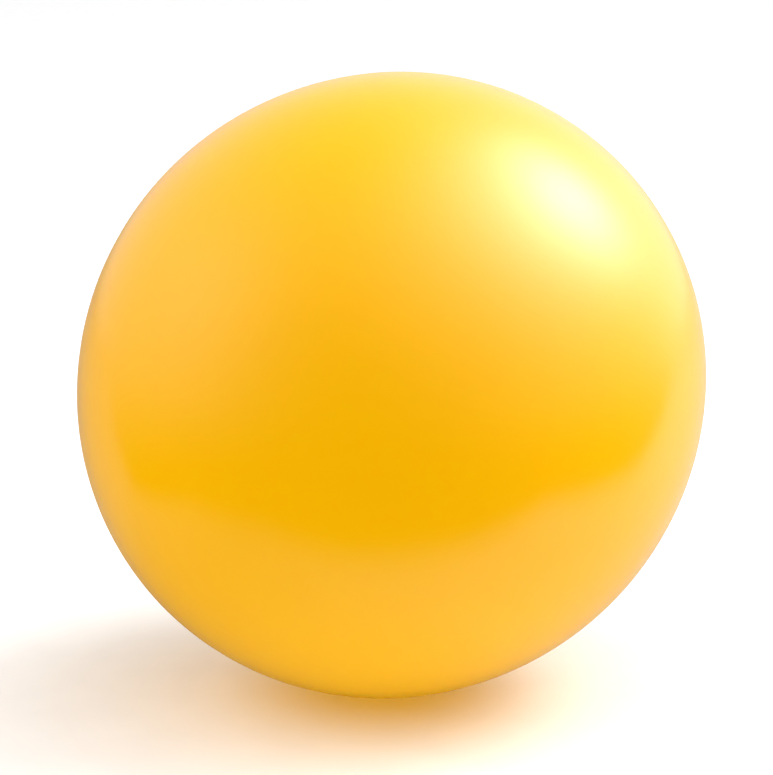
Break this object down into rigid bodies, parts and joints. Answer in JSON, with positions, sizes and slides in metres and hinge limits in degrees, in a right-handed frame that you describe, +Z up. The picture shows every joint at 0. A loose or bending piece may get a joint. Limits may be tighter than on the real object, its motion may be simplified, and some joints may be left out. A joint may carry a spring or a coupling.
{
  "type": "medicine ball",
  "caption": "Soft weighted medicine ball: a smooth hollow vinyl shell part filled with loose iron sand, closed by a flush barbed bung with a needle valve and a pull-out sealing plug.",
  "frame": {"origin": "middle of the small flat under the ball, where it rests on a floor or table", "axes": "+Z up from the rest flat through the ball's centre, +Y along the valve axis and out through the valve, +X to the right when the ball is seen from the side away from the valve"},
  "size_m": [0.12, 0.1197, 0.1194],
  "materials": {
    "vinyl_skin": "satin",
    "bung_vinyl": "satin",
    "valve_rubber": "matte",
    "plug_plastic": "satin",
    "iron_sand": "matte"
  },
  "bodies": {
    "ball": {"ball_shell": "vinyl_skin", "filler_bung": "bung_vinyl", "needle_valve": "valve_rubber"},
    "plug": {"sealing_plug": "plug_plastic"},
    "sand": {"iron_sand": "iron_sand"}
  },
  "joints": [
    {"name": "plug_pull", "type": "slide", "parent": "ball", "child": "plug", "axis": [0, 1, 0], "range_m": [0, 0.02]},
    {"name": "sand_slump", "type": "hinge", "parent": "ball", "child": "sand", "pos_m": [0, 0, 0.05946], "axis": [0, 1, 0], "continuous": true}
  ]
}
